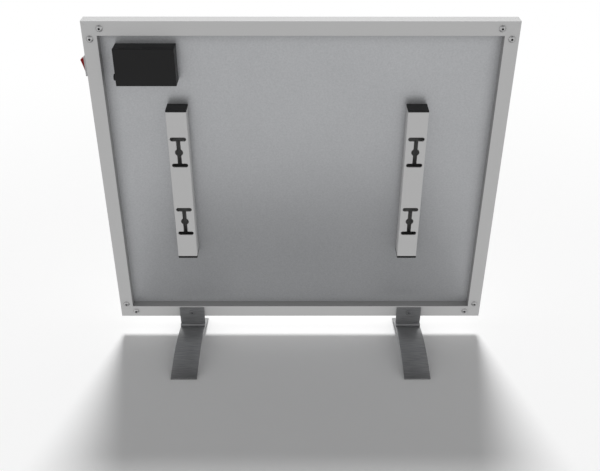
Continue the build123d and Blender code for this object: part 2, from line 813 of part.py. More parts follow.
export_step(rocker.part, "parts/rocker.step")

# ------------------------------------------------------------------ contact blade and terminals
blade_tilt = rocker_tilt * blade_turn_ratio
blade_pivot = rail_face - blade_reach - blade_thickness
blade_plane = turned(spot_plane(blade_pivot, switch_up, switch_depth), blade_tilt)
with BuildPart() as contact_blade:
    with BuildSketch(blade_plane):
        Rectangle(blade_thickness, blade_length, align=(Align.MIN, Align.CENTER))
        Circle(knuckle_radius)
    extrude(amount=blade_width / 2, both=True)
contact_blade.part.label = "contact_blade"
export_step(contact_blade.part, "parts/contact_blade.step")

tab_up = pole_pitch / 2
tab_half = tab_thickness / 2
tab_end = -(housing_depth + tab_reach)
floor_face = housing_floor - housing_depth
pivot_depth = blade_pivot - rail_face
fulcrum_top = pivot_depth - knuckle_radius - contact_gap
contact_top = pivot_depth - (tab_up + tab_half) * tan(radians(blade_tilt)) - contact_gap
with BuildPart() as switch_terminals:
    with BuildSketch(spot_plane(*switch_place)):
        with BuildLine():
            Polyline(
                (tab_end, -tab_up - tab_half),
                (floor_face + tab_thickness, -tab_up - tab_half),
                (floor_face + tab_thickness, -tab_half),
                (fulcrum_top, -tab_half),
                (fulcrum_top, tab_half),
                (floor_face, tab_half),
                (floor_face, -tab_up + tab_half),
                (tab_end, -tab_up + tab_half),
                close=True,
            )
        make_face()
        with Locations((tab_end, tab_up)):
            Rectangle(contact_top - tab_end, tab_thickness, align=(Align.MIN, Align.CENTER))
    extrude(amount=tab_width / 2, both=True)
switch_terminals.part.label = "switch_terminals"
export_step(switch_terminals.part, "parts/switch_terminals.step")

# ------------------------------------------------------------------ outline of the feet
arch_top_radius = ((arch_span / 2) ** 2 + (crown_height - toe_height) ** 2) / (
    2 * (crown_height - toe_height)
)
arch_low_radius = arch_top_radius - arch_thickness
heel_radius = arch_top_radius + foot_heel_thickness
arch_centre = crown_height - arch_top_radius
toe_reach = arch_span / 2
flat_reach = sqrt(arch_low_radius**2 - arch_centre**2)  # where the underside meets the floor


def arch_point(radius, angle):
    """A point of an arc round the arch's centre, this far round it to the rear of the crown."""
    return (radius * sin(angle), arch_centre + radius * cos(angle))


def panel_side_point(up, depth):
    """A point of the panel seen from the side, as rearward and height."""
    point = panel_point(0, up, depth)
    return (point.Y, point.Z)


def plate_meets(start, radius):
    """Where the plate, going down from this point, meets an arc round the arch's centre."""
    rearward, rise = start[0], start[1] - arch_centre
    slope = radians(foot_plate_angle)
    run = rearward * sin(slope) + rise * cos(slope)
    run -= sqrt(run**2 - (rearward**2 + rise**2 - radius**2))
    return atan2(rearward - run * sin(slope), rise - run * cos(slope))


bend_up = foot_plate_thickness * tan(radians(lean_angle - foot_plate_angle) / 2)
plate_front_angle = plate_meets(panel_side_point(0, 0), arch_top_radius)
heel_start_angle = plate_meets(panel_side_point(bend_up, -foot_plate_thickness), heel_radius)
heel_roll_radius = foot_heel_thickness / 2
heel_roll_angle = heel_start_angle + (foot_heel_length - heel_roll_radius) / heel_radius
heel_roll_middle = arch_point(arch_top_radius + heel_roll_radius, heel_roll_angle)

for side, centre in foot_centres.items():
    # The arched strip, ground flat where its toes meet the floor.
    arch_name = f"foot_arch_{side}"
    foot_plane = Plane.YZ.offset(centre)
    with BuildPart() as foot_arch:
        with BuildSketch(foot_plane):
            with BuildLine():
                ThreePointArc((-toe_reach, toe_height), (0, crown_height), (toe_reach, toe_height))
                Polyline((toe_reach, toe_height), (toe_reach, 0), (flat_reach, 0))
                ThreePointArc(
                    (flat_reach, 0), (0, crown_height - arch_thickness), (-flat_reach, 0)
                )
                Polyline((-flat_reach, 0), (-toe_reach, 0), (-toe_reach, toe_height))
            make_face()
        extrude(amount=strip_width / 2, both=True)
    foot_arch.part.label = arch_name
    export_step(foot_arch.part, f"parts/{arch_name}.step")

    # The bent plate that holds the bottom rail; its rolled heel stands on the arch.
    bracket_name = f"foot_bracket_{side}"
    with BuildPart() as foot_bracket:
        with BuildSketch(foot_plane):
            with BuildLine():
                ThreePointArc(
                    arch_point(arch_top_radius, plate_front_angle),
                    arch_point(arch_top_radius, (plate_front_angle + heel_roll_angle) / 2),
                    arch_point(arch_top_radius, heel_roll_angle),
                )
                ThreePointArc(
                    arch_point(arch_top_radius, heel_roll_angle),
                    (
                        heel_roll_middle[0] + heel_roll_radius * cos(heel_roll_angle),
                        heel_roll_middle[1] - heel_roll_radius * sin(heel_roll_angle),
                    ),
                    arch_point(heel_radius, heel_roll_angle),
                )
                ThreePointArc(
                    arch_point(heel_radius, heel_roll_angle),
                    arch_point(heel_radius, (heel_roll_angle + heel_start_angle) / 2),
                    arch_point(heel_radius, heel_start_angle),
                )
                Polyline(
                    arch_point(heel_radius, heel_start_angle),
                    panel_side_point(bend_up, -foot_plate_thickness),
                    panel_side_point(foot_tab_height, -foot_plate_thickness),
                    panel_side_point(foot_tab_height, 0),
                    panel_side_point(0, 0),
                    arch_point(arch_top_radius, plate_front_angle),
                )
            make_face()
        extrude(amount=strip_width / 2, both=True)
        with BuildSketch(panel_plane.offset(-foot_plate_thickness)):
            with Locations((centre, foot_screw_height)):
                Circle(screw_radius + hole_clearance)
        extrude(amount=foot_plate_thickness, mode=Mode.SUBTRACT)
    foot_bracket.part.label = bracket_name
    export_step(foot_bracket.part, f"parts/{bracket_name}.step")

# ------------------------------------------------------------------ screws of the feet
with BuildPart() as foot_nut_plates:
    with BuildSketch(panel_plane.offset(rail_wall)):
        with Locations(*foot_screw_points):
            Rectangle(nut_plate_length, nut_plate_height)
            Circle(screw_radius + thread_clearance, mode=Mode.SUBTRACT)
    extrude(amount=nut_plate_thickness)
foot_nut_plates.part.label = "foot_nut_plates"
export_step(foot_nut_plates.part, "parts/foot_nut_plates.step")

with BuildPart() as foot_screws:
    button_screws(
        panel_plane.offset(-foot_plate_thickness),
        foot_screw_points,
        screw_radius,
        foot_plate_thickness + rail_wall + nut_plate_thickness + screw_tip_length,
        screw_head_radius,
        screw_head_height,
    )
foot_screws.part.label = "foot_screws"
export_step(foot_screws.part, "parts/foot_screws.step")
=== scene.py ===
# %% [markdown]
# # An infrared panel heater from behind
# The heater is a thin panel in a rail frame that leans back on two arched feet. Its solids come
# from a CAD model, and this script dresses them: it gives every piece a finish, makes the screws,
# the feet and the rocker again with softer edges, and lights the scene like a small studio.
# The first cell loads the model.

# %% Load the model
import bmesh
import bpy
from math import atan2, cos, pi, radians, sin, sqrt
from mathutils import Euler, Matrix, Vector


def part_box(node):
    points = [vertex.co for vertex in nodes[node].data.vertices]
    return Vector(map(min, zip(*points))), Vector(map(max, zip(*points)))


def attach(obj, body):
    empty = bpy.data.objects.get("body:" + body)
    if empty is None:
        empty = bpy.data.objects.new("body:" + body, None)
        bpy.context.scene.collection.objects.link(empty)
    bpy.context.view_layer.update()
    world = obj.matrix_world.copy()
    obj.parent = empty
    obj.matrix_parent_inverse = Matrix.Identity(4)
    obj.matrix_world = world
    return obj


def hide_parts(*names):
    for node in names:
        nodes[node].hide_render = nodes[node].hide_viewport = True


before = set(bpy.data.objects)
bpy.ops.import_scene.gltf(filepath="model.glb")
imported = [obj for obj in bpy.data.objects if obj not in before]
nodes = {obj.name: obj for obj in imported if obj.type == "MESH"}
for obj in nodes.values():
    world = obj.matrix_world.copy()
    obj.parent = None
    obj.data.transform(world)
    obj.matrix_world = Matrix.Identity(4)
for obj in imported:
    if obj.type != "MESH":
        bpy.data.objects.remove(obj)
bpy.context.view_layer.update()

print("pieces in the model:", len(nodes))

# %% [markdown]
# ## Places on the leaning panel
# The panel leans back by eight degrees. A place on it is easiest to say as a distance across it
# from the middle, up it from its lower edge, and forwards from the rear face of its rails. One
# helper turns such a place, in millimetres, into a point of the scene, in metres.

# %% Places on the panel
lean = radians(8)
panel_width, panel_height, rail_width = 600, 505, 20.4  # in mm
foot_across = 181.3  # in mm, middle of the panel to the middle of a foot
rear_edge = Vector((0, -0.043, 0.035))  # in metres, the frame's rear bottom edge
panel_up = Vector((0, sin(lean), cos(lean)))
panel_front = Vector((0, -cos(lean), sin(lean)))


def on_panel(across, up, depth):
    """A place on the panel in millimetres, as a point in metres."""
    return rear_edge + (Vector((1, 0, 0)) * across + panel_up * up + panel_front * depth) / 1000


print("top of the rear face:", [round(v, 4) for v in on_panel(0, panel_height, 0)])

# %% [markdown]
# ## The camera
# The photograph looks down at the back of the heater from a little above its top edge. The
# frame's four corners and the feet gave the camera's place, and the frame's known width gave the
# distance. A 50 mm lens on a 36 mm sensor is close to what was used.

# %% Camera
def new_object(name, data):
    """A new object with this data, in the scene."""
    made = bpy.data.objects.new(name, data)
    bpy.context.scene.collection.objects.link(made)
    return made


camera = new_object("camera", bpy.data.cameras.new("camera"))
camera.location = (0.00376, 1.17094, 0.73730)
camera.rotation_euler = (radians(65.485), radians(-0.048), radians(179.884))
camera.data.lens = 49.73
camera.data.sensor_width = 36
bpy.context.scene.camera = camera
print("camera height in m:", round(camera.location.z, 3))

# %% [markdown]
# ## Nodes in a few words
# A finish is a small tree of shader nodes. These helpers keep the cells below short: one feeds an
# input with a number or with another node's output, one adds a node with its settings and inputs,
# and a few make the nodes that come back most, such as a sum, a mix of colours or a smooth ramp.

# %% Helpers for node trees
def feed(tree, socket, value):
    """Set an input to a value, or link it to an output."""
    if isinstance(value, bpy.types.NodeSocket):
        tree.links.new(value, socket)
    else:
        socket.default_value = value


def feed_all(tree, sockets, values):
    """Feed several inputs, each under its name or its number."""
    for label, value in values.items():
        feed(tree, sockets[label], value)


def add(tree, kind, inputs=None, **settings):
    """A new node of this kind with these settings and inputs."""
    node = tree.nodes.new(kind)
    for key, value in settings.items():
        setattr(node, key, value)
    feed_all(tree, node.inputs, inputs or {})
    return node


def by_identifier(sockets, identifier):
    """The socket with this identifier, where several share a name."""
    return next(socket for socket in sockets if socket.identifier == identifier)


def calculate(tree, operation, *values):
    """A Math node; returns its output."""
    return add(tree, "ShaderNodeMath", dict(enumerate(values)), operation=operation).outputs[0]


def blend_colours(tree, share, first, second):
    """A Mix node for colours; returns its output."""
    node = add(tree, "ShaderNodeMix", data_type="RGBA")
    for name, value in (("Factor_Float", share), ("A_Color", first), ("B_Color", second)):
        feed(tree, by_identifier(node.inputs, name), value)
    return by_identifier(node.outputs, "Result_Color")


def smooth_ramp(tree, value, start, end, low=0.0, high=1.0):
    """A smooth change from low to high while the value goes from start to end."""
    return add(tree, "ShaderNodeMapRange", {
        "Value": value, "From Min": start, "From Max": end, "To Min": low, "To Max": high,
    }, interpolation_type="SMOOTHSTEP").outputs["Result"]


def new_group(name, inputs, outputs):
    """A shader node group with named sockets; returns it, what it is given and its results."""
    group = bpy.data.node_groups.new(name, "ShaderNodeTree")
    for label, (kind, value) in inputs.items():
        socket = group.interface.new_socket(name=label, in_out="INPUT", socket_type=kind)
        socket.default_value = value
    for label, kind in outputs.items():
        group.interface.new_socket(name=label, in_out="OUTPUT", socket_type=kind)
    return group, add(group, "NodeGroupInput").outputs, add(group, "NodeGroupOutput").inputs


print("materials that come with the model:", len(bpy.data.materials))

# %% [markdown]
# ## Effects that every finish has
# Three effects come back in every finish, so each is a node group that is built once.
# *Soft edges* rounds the shading of sharp edges a little and tells where they are, because a
# real sheet or extrusion never has a perfectly sharp corner and wears there first.
# *Fine grain* is a noise that can be stretched into brush lines or kept even like powder coat.
# *Cloudiness* is a slow change of tone over a hand's breadth.

# %% Soft edges
edge_gain = 4.0
soft_edges, given, result = new_group(
    "Soft edges",
    {"Width": ("NodeSocketFloat", 0.0005)},
    {"Normal": "NodeSocketVector", "Edge": "NodeSocketFloat"},
)
rounded = add(soft_edges, "ShaderNodeBevel", {"Radius": given["Width"]}, samples=6)
face = add(soft_edges, "ShaderNodeNewGeometry")
agreement = add(soft_edges, "ShaderNodeVectorMath", {
    0: rounded.outputs["Normal"], 1: face.outputs["Normal"],
}, operation="DOT_PRODUCT")
turned_away = calculate(soft_edges, "SUBTRACT", 1.0, agreement.outputs["Value"])
edge = calculate(soft_edges, "MULTIPLY", turned_away, edge_gain)
feed_all(soft_edges, result, {
    "Normal": rounded.outputs["Normal"], "Edge": calculate(soft_edges, "MINIMUM", edge, 1.0),
})
print("group made:", soft_edges.name)

# %% Fine grain
fine_grain, given, result = new_group(
    "Fine grain",
    {
        "Lines per metre": ("NodeSocketVector", (900, 900, 900)),
        "Turn": ("NodeSocketVector", (0, 0, 0)),
    },
    {"Grain": "NodeSocketFloat"},
)
place = add(fine_grain, "ShaderNodeTexCoord")
turned = add(fine_grain, "ShaderNodeMapping", {
    "Vector": place.outputs["Object"], "Rotation": given["Turn"],
}, vector_type="POINT")
stretched = add(fine_grain, "ShaderNodeVectorMath", {
    0: turned.outputs["Vector"], 1: given["Lines per metre"],
}, operation="MULTIPLY")
noise = add(fine_grain, "ShaderNodeTexNoise", {
    "Vector": stretched.outputs["Vector"], "Scale": 1.0, "Detail": 2.0,
})
feed(fine_grain, result["Grain"], noise.outputs["Fac"])
print("group made:", fine_grain.name)

# %% Cloudiness
cloudiness, given, result = new_group(
    "Cloudiness", {"Clouds per metre": ("NodeSocketFloat", 12.0)}, {"Cloud": "NodeSocketFloat"},
)
place = add(cloudiness, "ShaderNodeTexCoord")
noise = add(cloudiness, "ShaderNodeTexNoise", {
    "Vector": place.outputs["Object"], "Scale": given["Clouds per metre"], "Detail": 3.0,
})
feed(cloudiness, result["Cloud"], noise.outputs["Fac"])
print("group made:", cloudiness.name)

# %% [markdown]
# ## Painted shade by place
# Three more groups tell where shade falls, and the colour is darkened there as painted shade.
# The first finds the places that stand close to other faces, where shade falls, and darkens a
# satin surface there as painted shade.
# The second finds the inner walls of the frame, between its rear edge and the sheet, and darkens
# them as painted shade. It also finds the sheet's rim beside them, which the coating left more
# matt.
# The third finds what stands low over the floor, and darkens it there as painted shade.

# %% Painted corner shade
corner_shade_group, given, result = new_group(
    "Painted corner shade", {"Reach": ("NodeSocketFloat", 0.03)}, {"Corner shade": "NodeSocketFloat"},
)
# Painted shade: one minus the ambient occlusion, so faces with others close by turn darker.
openness = add(
    corner_shade_group, "ShaderNodeAmbientOcclusion", {"Distance": given["Reach"]}, samples=6,
)
corner_shade = calculate(corner_shade_group, "SUBTRACT", 1.0, openness.outputs["AO"])
feed(corner_shade_group, result["Corner shade"], corner_shade)
print("group made:", corner_shade_group.name)

# %% Recess behind the frame
wall_slack = 0.2  # in mm, so that the walls themselves count as inside
recess, given, result = new_group(
    "Recess",
    {
        "Half width": ("NodeSocketFloat", (panel_width / 2 - rail_width + wall_slack) / 1000),
        "Half height": ("NodeSocketFloat", (panel_height / 2 - rail_width + wall_slack) / 1000),
        "Rim width": ("NodeSocketFloat", 0.02),
    },
    {"Painted wall shade": "NodeSocketFloat", "Rim": "NodeSocketFloat"},
)
place = add(recess, "ShaderNodeTexCoord")
from_middle = add(recess, "ShaderNodeVectorMath", {
    0: place.outputs["Object"], 1: on_panel(0, panel_height / 2, 0),
}, operation="SUBTRACT")
across = add(recess, "ShaderNodeSeparateXYZ", {"Vector": from_middle.outputs["Vector"]})
upwards = add(recess, "ShaderNodeVectorMath", {
    0: from_middle.outputs["Vector"], 1: panel_up,
}, operation="DOT_PRODUCT")
inside, rims = [], []
for value, label in (
    (across.outputs["X"], "Half width"), (upwards.outputs["Value"], "Half height"),
):
    reach = calculate(recess, "ABSOLUTE", value)
    inside.append(calculate(recess, "LESS_THAN", reach, given[label]))
    rim_start = calculate(recess, "SUBTRACT", given[label], given["Rim width"])
    rims.append(smooth_ramp(recess, reach, rim_start, given[label]))
# The wall mask darkens the colour of the frame's inner walls as painted shade.
feed_all(recess, result, {
    "Painted wall shade": calculate(recess, "MULTIPLY", *inside), "Rim": calculate(recess, "MAXIMUM", *rims),
})
print("group made:", recess.name)

# %% Painted shade near the floor
floor_shade_group, given, result = new_group(
    "Painted floor shade", {"Height": ("NodeSocketFloat", 0.014)}, {"Floor shade": "NodeSocketFloat"},
)
place = add(floor_shade_group, "ShaderNodeTexCoord")
height = add(floor_shade_group, "ShaderNodeSeparateXYZ", {"Vector": place.outputs["Object"]})
# Painted shade: full at the floor, gone at the given height.
floor_shade_ramp = smooth_ramp(floor_shade_group, height.outputs["Z"], given["Height"], 0.0)
feed(floor_shade_group, result["Floor shade"], floor_shade_ramp)
print("group made:", floor_shade_group.name)

# %% [markdown]
# ## One recipe for a finish
# Paint, plastic, plated steel and brushed steel differ in numbers more than in kind, so one
# recipe serves them all. The colour drifts between a dark and a light tone with the clouds, the
# grain adds its own small contrast, and edges are lighter where they are rubbed. The same grain
# drives roughness and a shallow bump. The shader itself always stays in the material.

# %% Recipe for a finish
rub_gain, rub_lift = 1.25, 0.03  # a rubbed edge against the light tone
least_roughness = 0.03


def use_group(tree, group, **values):
    """Place a node group, with _ for each space in its inputs' names; returns its outputs."""
    inputs = {label.replace("_", " "): value for label, value in values.items()}
    return add(tree, "ShaderNodeGroup", inputs, node_tree=group).outputs


def make_finish(
    name, dark, light, roughness, metallic=0.0, lines=(900, 900, 900), turn=(0, 0, 0),
    grain_tone=0.25, grain_depth=0.00001, clouds=12.0, edge_tone=0.12, edge_width=0.0005,
    edge_colour=None, specular=0.5, coat=0.0, corner_shade=0.0, wall_shade=0.0, matt_rim=0.0, floor_shade=0.0,
    gloss_change=0.07,
):
    """A material between two tones, with grain, clouds, rubbed edges and painted shade where asked.
    """
    material = bpy.data.materials.new(name)
    material.use_nodes = True
    tree = material.node_tree
    shader = tree.nodes["Principled BSDF"]
    edges = use_group(tree, soft_edges, Width=edge_width)
    grain = use_group(tree, fine_grain, Lines_per_metre=lines, Turn=turn)["Grain"]
    cloud = use_group(tree, cloudiness, Clouds_per_metre=clouds)["Cloud"]
    grain_share = calculate(tree, "MULTIPLY", grain, grain_tone)
    cloud_share = calculate(tree, "MULTIPLY", cloud, 1 - grain_tone)
    drift = calculate(tree, "ADD", grain_share, cloud_share)
    tone = blend_colours(tree, drift, (*dark, 1), (*light, 1))
    rubbed = edge_colour or tuple(min(1, v * rub_gain + rub_lift) for v in light)
    amount = calculate(tree, "MULTIPLY", edges["Edge"], edge_tone)
    tone = blend_colours(tree, amount, tone, (*rubbed, 1))
    # Painted shade: the colour darkens in corners, on the frame's inner walls and low over the
    # floor.
    for group, mask, strength, shade in (
        (corner_shade_group, "Corner shade", corner_shade, 0.25),
        (recess, "Painted wall shade", wall_shade, 0.5),
        (floor_shade_group, "Floor shade", floor_shade, 0.5),
    ):
        if strength:
            amount = calculate(tree, "MULTIPLY", use_group(tree, group)[mask], strength)
            tone = blend_colours(tree, amount, tone, (*(v * shade for v in dark), 1))
    spread = add(tree, "ShaderNodeMapRange", {
        "Value": grain,
        "To Min": max(least_roughness, roughness - gloss_change),
        "To Max": min(1.0, roughness + gloss_change),
    })
    bump = add(tree, "ShaderNodeBump", {
        "Height": grain, "Distance": grain_depth, "Normal": edges["Normal"],
    })
    feed_all(tree, shader.inputs, {
        "Base Color": tone, "Roughness": spread.outputs["Result"],
        "Normal": bump.outputs["Normal"], "Metallic": metallic,
        "Specular IOR Level": specular, "Coat Weight": coat,
    })
    if matt_rim:
        rim = use_group(tree, recess)["Rim"]
        less_metallic = calculate(tree, "MULTIPLY_ADD", rim, -matt_rim, metallic)
        feed(tree, shader.inputs["Metallic"], less_metallic)
    return material


print("effects that the recipe can use:", [group.name for group in bpy.data.node_groups])

# %% [markdown]
# ## The finishes outside
# The frame is satin metal with barely visible lines along each rail. The rear sheet is coated
# metal with a fine speckle, a little bluer than the frame. The box, the caps and the cord outlet
# are moulded black plastic, the feet dark brushed steel, the screws plated steel.

# %% Frame, sheet and tubes
along_panel = (-lean, 0, 0)
extruded = {"turn": along_panel, "grain_tone": 0.6, "grain_depth": 0.000004, "specular": 0.25}
# The rails get painted shade in their corners and, stronger, on the frame's inner walls.
rail_finish_across = make_finish(
    "satin rails across", (0.625, 0.625, 0.625), (0.665, 0.665, 0.665), roughness=0.5,
    lines=(12, 1400, 1400), edge_tone=0.25, corner_shade=0.4, wall_shade=0.7, **extruded,
)
rail_finish_up = make_finish(
    "satin rails upright", (0.625, 0.625, 0.625), (0.665, 0.665, 0.665), roughness=0.5,
    lines=(1400, 1400, 12), edge_tone=0.25, corner_shade=0.4, wall_shade=0.9, **extruded,
)
sheet_finish = make_finish(
    "speckled rear sheet", (0.375, 0.383, 0.397), (0.570, 0.578, 0.592),
    roughness=0.325, metallic=0.5, gloss_change=0.02, matt_rim=0.45,
    lines=(420, 420, 420), turn=along_panel, grain_tone=0.75, grain_depth=0.000002, clouds=9,
)
# The tubes get full painted shade in their corners and slots.
tube_finish = make_finish(
    "satin tubes", (0.63, 0.63, 0.63), (0.67, 0.67, 0.67), roughness=0.5,
    lines=(1400, 1400, 14), edge_tone=0.3, corner_shade=1.0, **extruded,
)
front_finish = make_finish(
    "white powder coat", (0.63, 0.63, 0.62), (0.67, 0.67, 0.66), roughness=0.55,
    lines=(1100, 1100, 1100), grain_depth=0.00003, grain_tone=0.4, clouds=5,
)
print("finishes of frame, sheets and tubes made")

# %% Plastic and rubber
even_grain = (1500, 1500, 1500)
black_plastic = make_finish(
    "black caps", (0.012, 0.012, 0.0125), (0.019, 0.019, 0.0195), roughness=0.5,
    lines=even_grain, grain_depth=0.00002, edge_tone=0.03, specular=0.18,
)
box_plastic = make_finish(
    "moulded box", (0.010, 0.010, 0.0105), (0.0145, 0.0145, 0.015), roughness=0.45,
    lines=(1300, 1300, 1300), grain_depth=0.00002, edge_tone=0.03, edge_width=0.0008,
    specular=0.18,
)
seal_rubber = make_finish(
    "edge seal", (0.02, 0.02, 0.02), (0.04, 0.04, 0.04), roughness=0.8, grain_depth=0.00003,
)
rocker_plastic = make_finish(
    "red rocker", (0.23, 0.005, 0.005), (0.28, 0.008, 0.007), roughness=0.3,
    lines=(800, 800, 800), grain_depth=0.000004, edge_tone=0.1, edge_colour=(0.5, 0.06, 0.05),
    specular=0.15,
)
switch_plastic = make_finish(
    "grey switch", (0.42, 0.42, 0.425), (0.51, 0.51, 0.515), roughness=0.5,
    lines=even_grain, grain_depth=0.00001, edge_tone=0.15,
)
print("finishes of plastic and rubber made")

# %% Steel
# The arches get a little painted shade in corners and painted shade low over the floor.
foot_steel = make_finish(
    "dark brushed feet", (0.14, 0.142, 0.146), (0.50, 0.504, 0.512), roughness=0.36, metallic=0.75,
    lines=(50, 900, 900), grain_tone=0.8, grain_depth=0.000012, clouds=40, edge_tone=0.3,
    corner_shade=0.1, floor_shade=0.4,
)
plate_steel = make_finish(
    "dark bent plates", (0.135, 0.137, 0.141), (0.385, 0.389, 0.397), roughness=0.45, metallic=0.45,
    lines=(50, 900, 900), grain_tone=0.8, grain_depth=0.000008, clouds=40, edge_tone=0.2,
)
plate_screw_steel = make_finish(
    "dark foot screws", (0.15, 0.152, 0.156), (0.27, 0.274, 0.282), roughness=0.5, metallic=0.45,
    lines=even_grain, grain_depth=0.000004, edge_width=0.0003,
)
# Foot screw sockets are coloured dark as painted shade in the hole.
plate_socket_shade_steel = make_finish(
    "foot screw sockets, painted shade", (0.07, 0.07, 0.072), (0.10, 0.10, 0.102), roughness=0.6,
    lines=even_grain, grain_depth=0.000004, specular=0.3,
)
screw_steel = make_finish(
    "plated screws", (0.43, 0.43, 0.435), (0.51, 0.51, 0.51), roughness=0.28, metallic=0.7,
    lines=even_grain, grain_depth=0.000004, edge_tone=0.2, edge_width=0.0003,
)
# Screw sockets are coloured near black as painted shade in the hole.
socket_shade_steel = make_finish(
    "screw sockets, painted shade", (0.03, 0.03, 0.03), (0.055, 0.055, 0.055), roughness=0.6,
    lines=even_grain, grain_depth=0.000004, specular=0.2,
)
print("finishes of steel made")

# %% [markdown]
# ## The finishes inside
# These pieces are out of sight in the photograph, but they are part of the model, so each gets
# the material that such a piece has: pressed fibre board, amber film, etched foil, brass
# contacts, and leads in a silicone sleeve.

# %% Inner materials
fibre_board = make_finish(
    "pressed fibre", (0.62, 0.58, 0.48), (0.80, 0.77, 0.67), roughness=0.95,
    lines=(500, 500, 500), grain_tone=0.7, grain_depth=0.0002, edge_tone=0.0,
)
amber_film = make_finish(
    "amber film", (0.42, 0.20, 0.04), (0.55, 0.29, 0.07), roughness=0.25,
    lines=(60, 60, 60), grain_depth=0.000002, coat=0.4,
)
etched_foil = make_finish(
    "etched foil", (0.62, 0.62, 0.64), (0.78, 0.78, 0.80), roughness=0.3, metallic=1.0,
    lines=(30, 1600, 1600), grain_depth=0.000004,
)
brass = make_finish(
    "brass contacts", (0.66, 0.46, 0.20), (0.80, 0.60, 0.30), roughness=0.3, metallic=1.0,
    lines=(1200, 200, 1200), grain_depth=0.000005,
)
terminal_plastic = make_finish(
    "terminal block", (0.70, 0.68, 0.60), (0.80, 0.78, 0.71), roughness=0.5, grain_depth=0.00001,
)
lead_sleeve = make_finish(
    "silicone sleeve", (0.56, 0.53, 0.45), (0.68, 0.65, 0.57), roughness=0.6, grain_depth=0.00002,
)
print("inner finishes made")

# %% [markdown]
# ## A finish for every piece
# The table names the pieces that share a finish. They keep the shapes and places that they have
# in the model, and only their material changes.

# %% Give every piece of the model its finish
finish_of = {
    rail_finish_across: ["top_rail", "bottom_rail"],
    rail_finish_up: ["switch_side_rail", "plain_side_rail"],
    sheet_finish: ["back_sheet"],
    tube_finish: ["mounting_tube_plain_side", "mounting_tube_switch_side"],
    front_finish: ["front_plate"],
    black_plastic: ["tube_end_caps", "cable_gland", "gland_nut"],
    box_plastic: ["control_box_cover", "control_box_base"],
    foot_steel: ["foot_arch_plain_side", "foot_arch_switch_side"],
    plate_steel: ["foot_bracket_plain_side", "foot_bracket_switch_side"],
    screw_steel: [
        "corner_screws", "foot_screws", "corner_brackets", "foot_nut_plates", "tube_rivets",
        "control_box_screws", "thermal_cutout",
    ],
    seal_rubber: ["edge_seal"],
    rocker_plastic: ["rocker"],
    switch_plastic: ["switch_housing"],
    fibre_board: ["insulation_board"],
    amber_film: ["heating_film"],
    etched_foil: ["heating_track"],
    brass: ["earth_screw", "terminal_screws", "contact_blade", "switch_terminals"],
    terminal_plastic: ["terminal_block"],
    lead_sleeve: ["switch_leads", "element_leads"],
}
for material, names in finish_of.items():
    for name in names:
        for slot in nodes[name].material_slots:
            slot.material = material
dressed = sum(len(names) for names in finish_of.values())
print("pieces dressed:", dressed, "of", len(nodes))

# %% [markdown]
# ## Screws by Geometry Nodes
# Eight button head screws hold the frame's corners, and two flatter, darker ones hold the feet.
# One screw of each kind is turned from a profile. Its socket is a hexagon that joins the round
# part ring by ring, and its faces get a near-black material as painted shade in the hole. A node
# tree then copies the screw onto points, leans each copy with the panel and turns it about its own
# axis by a random but fixed angle, as real screws end up.

# %% Profiles of the heads
def tapered_head(radius, height, socket_edge):
    """Radii and heights of a tapered head with round edges, from its rim to its socket."""
    outline = ((1, 0.12), (0.985, 0.22), (0.95, 0.32), (0.60, 0.90), (0.54, 0.965), (0.46, 1))
    return [(radius * out, height * up) for out, up in outline] + [(socket_edge, height)]


def flat_head(radius, height, socket_edge):
    """Radii and heights of a flat head with a round edge, from its rim to its socket."""
    bend, steps = 0.75 * height, 8
    turns = [pi / 2 * step / steps for step in range(steps + 1)]
    edge = [(radius - bend * (1 - cos(turn)), height - bend * (1 - sin(turn))) for turn in turns]
    return edge + [(socket_edge, height)]


print("points of the profiles:", len(tapered_head(1, 1, 0)), "and", len(flat_head(1, 1, 0)))

# %% One screw of each kind
head_radius, shank_radius, chamfer = 0.0048, 0.00245, 0.00049  # in metres
socket_edge_share, socket_lip_share, socket_depth_share = 1.22, 1.03, 0.6
ring_points = 48


def ring(mesh, radius, height, flats=False):
    """A ring of points; with flats it is a hexagon of this half width."""
    points = []
    for step in range(ring_points):
        angle = 2 * pi * step / ring_points
        reach = radius / cos((angle + pi / 6) % (pi / 3) - pi / 6) if flats else radius
        points.append(mesh.verts.new((reach * cos(angle), reach * sin(angle), height)))
    return points


def screw_object(name, shape, head_height, shank_length, half_flats):
    """A screw that stands on its head's underside at height zero, in metres."""
    mesh = bmesh.new()
    head = shape(head_radius, head_height, half_flats * socket_edge_share)
    top = head[-1][1]
    socket_floor = head_height * (1 - socket_depth_share)
    rings = [ring(mesh, *level) for level in (
        (shank_radius - chamfer, -shank_length),
        (shank_radius, -shank_length + chamfer),
        (shank_radius, -0.0001),
        (head_radius - 0.0003, 0),
        (head_radius, 0.0002),
        *head,
        (half_flats * socket_lip_share, top - 0.00008, True),
        (half_flats, top - 0.0002, True),
        (half_flats, socket_floor, True),
    )]
    tip = mesh.verts.new((0, 0, socket_floor - half_flats * 0.35))
    for lower, upper in zip(rings, rings[1:]):
        for step in range(ring_points):
            after = (step + 1) % ring_points
            mesh.faces.new((lower[step], lower[after], upper[after], upper[step]))
    mesh.faces.new(reversed(rings[0]))
    last = rings[-1]
    for step in range(ring_points):
        mesh.faces.new((last[step], last[(step + 1) % ring_points], tip))
    bmesh.ops.recalc_face_normals(mesh, faces=mesh.faces)
    data = bpy.data.meshes.new(name)
    mesh.to_mesh(data)
    mesh.free()
    socket = data.attributes.new("socket", "BOOLEAN", "FACE")
    for face, mark in zip(data.polygons, socket.data):
        middle = face.center
        mark.value = 0 < middle.z < top - 0.0003 and middle.xy.length < half_flats * 1.1
    return new_object(name, data)


frame_screw = screw_object(
    "frame screw", tapered_head, head_height=0.0026, shank_length=0.009, half_flats=0.0015,
)
foot_screw = screw_object(
    "foot screw", flat_head, head_height=0.0014, shank_length=0.0085, half_flats=0.0013,
)
print("faces on one screw:", len(frame_screw.data.polygons))

